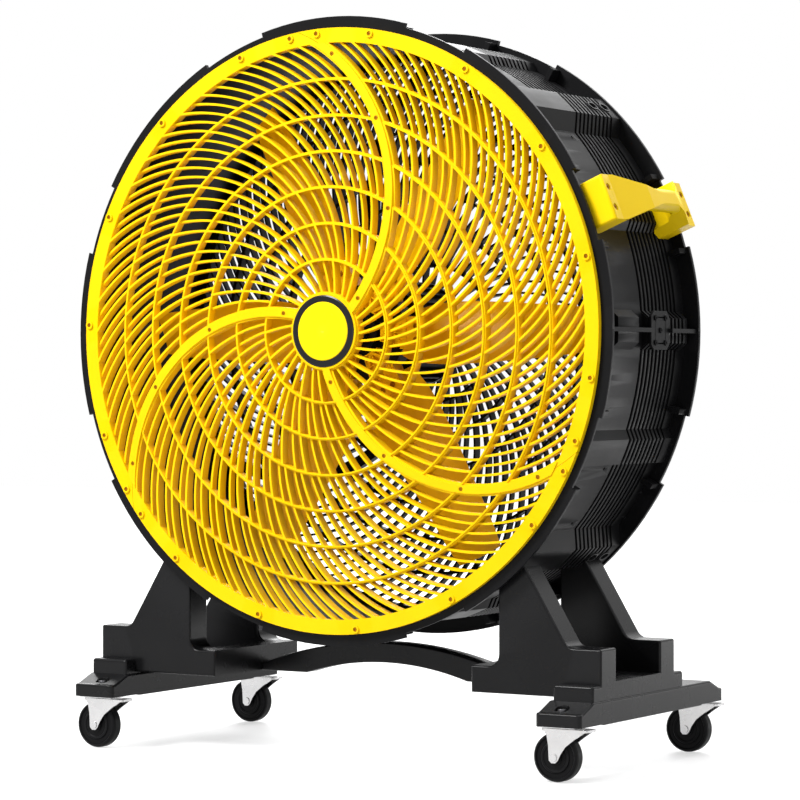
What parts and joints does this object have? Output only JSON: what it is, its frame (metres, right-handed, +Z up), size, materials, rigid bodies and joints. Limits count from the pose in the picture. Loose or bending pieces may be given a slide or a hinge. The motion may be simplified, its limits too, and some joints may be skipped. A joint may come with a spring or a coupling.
{
  "type": "drum fan",
  "caption": "Wheeled drum fan with a round ribbed guard, spiral grille bars, six broad blades, a side handle and two footed pedestals on swivel casters.",
  "frame": {"origin": "on the floor, under the centre of the overall bounding box", "axes": "+Z up, +Y from the front guard towards the rear guard, +X to the fan's left as it faces forward, right in the picture"},
  "size_m": [0.7317, 0.362, 0.8611],
  "materials": {
    "yellow_plastic": "fine satin moulding",
    "black_plastic": "satin moulding",
    "drum_plastic": "fine grained moulding",
    "blade_plastic": "satin moulding",
    "badge_plastic": "gloss",
    "screw_steel": "zinc plated",
    "fork_steel": "bright zinc plated pressing",
    "shaft_steel": "ground",
    "motor_metal": "semi-gloss black",
    "wheel_plastic": "hard black wheel"
  },
  "bodies": {
    "frame": {"front_guard_sector_a": "yellow_plastic", "front_guard_sector_b": "yellow_plastic", "front_guard_sector_c": "yellow_plastic", "front_guard_arms": "yellow_plastic", "front_guard_ring_screws": "screw_steel", "front_guard_arm_screws": "screw_steel", "rear_guard_sector_a": "black_plastic", "rear_guard_sector_b": "black_plastic", "rear_guard_sector_c": "black_plastic", "rear_guard_arms": "black_plastic", "rear_guard_ring_screws": "screw_steel", "rear_guard_arm_screws": "screw_steel", "badge_ring": "badge_plastic", "badge_disc": "yellow_plastic", "handle": "yellow_plastic", "drum_upper": "drum_plastic", "drum_lower": "drum_plastic", "joint_plate_left": "drum_plastic", "joint_plate_right": "drum_plastic", "pedestal_left": "drum_plastic", "pedestal_right": "drum_plastic", "foot_beam_left": "drum_plastic", "foot_beam_right": "drum_plastic", "cross_beam": "drum_plastic", "joint_plate_screws": "screw_steel", "handle_screws": "screw_steel", "foot_screws": "screw_steel", "control_box_screws": "screw_steel", "motor_housing": "motor_metal", "motor_cap": "motor_metal", "control_box": "black_plastic", "caster_plates": "fork_steel"},
    "fan": {"blade_1": "blade_plastic", "blade_2": "blade_plastic", "blade_3": "blade_plastic", "blade_4": "blade_plastic", "blade_5": "blade_plastic", "blade_6": "blade_plastic", "blade_roots": "blade_plastic", "fan_hub": "black_plastic", "blade_screws": "screw_steel", "fan_shaft": "shaft_steel", "shaft_nut": "screw_steel"},
    "knob": {"speed_knob": "black_plastic"},
    "caster_front_left": {"fork_front_left": "fork_steel", "axle_front_left": "screw_steel"},
    "wheel_front_left": {"wheel_front_left": "wheel_plastic"},
    "caster_rear_left": {"fork_rear_left": "fork_steel", "axle_rear_left": "screw_steel"},
    "wheel_rear_left": {"wheel_rear_left": "wheel_plastic"},
    "caster_front_right": {"fork_front_right": "fork_steel", "axle_front_right": "screw_steel"},
    "wheel_front_right": {"wheel_front_right": "wheel_plastic"},
    "caster_rear_right": {"fork_rear_right": "fork_steel", "axle_rear_right": "screw_steel"},
    "wheel_rear_right": {"wheel_rear_right": "wheel_plastic"}
  },
  "joints": [
    {"name": "fan_spin", "type": "hinge", "parent": "frame", "child": "fan", "pos_m": [-0.00215, -0.068, 0.4975], "axis": [0, 1, 0], "continuous": true},
    {"name": "speed_knob_turn", "type": "hinge", "parent": "frame", "child": "knob", "pos_m": [-0.00215, 0.132, 0.4975], "axis": [0, 1, 0], "range_deg": [0, 135]},
    {"name": "swivel_front_left", "type": "hinge", "parent": "frame", "child": "caster_front_left", "pos_m": [-0.31565, -0.164, 0.06], "axis": [0, 0, 1], "continuous": true},
    {"name": "roll_front_left", "type": "hinge", "parent": "caster_front_left", "child": "wheel_front_left", "pos_m": [-0.32035, -0.164, 0.0275], "axis": [0, 1, 0], "continuous": true},
    {"name": "swivel_rear_left", "type": "hinge", "parent": "frame", "child": "caster_rear_left", "pos_m": [-0.31565, 0.162, 0.06], "axis": [0, 0, 1], "continuous": true},
    {"name": "roll_rear_left", "type": "hinge", "parent": "caster_rear_left", "child": "wheel_rear_left", "pos_m": [-0.32035, 0.162, 0.0275], "axis": [0, 1, 0], "continuous": true},
    {"name": "swivel_front_right", "type": "hinge", "parent": "frame", "child": "caster_front_right", "pos_m": [0.31135, -0.164, 0.06], "axis": [0, 0, 1], "continuous": true},
    {"name": "roll_front_right", "type": "hinge", "parent": "caster_front_right", "child": "wheel_front_right", "pos_m": [0.30665, -0.164, 0.0275], "axis": [0, 1, 0], "continuous": true},
    {"name": "swivel_rear_right", "type": "hinge", "parent": "frame", "child": "caster_rear_right", "pos_m": [0.31135, 0.162, 0.06], "axis": [0, 0, 1], "continuous": true},
    {"name": "roll_rear_right", "type": "hinge", "parent": "caster_rear_right", "child": "wheel_rear_right", "pos_m": [0.30665, 0.162, 0.0275], "axis": [0, 1, 0], "continuous": true}
  ]
}
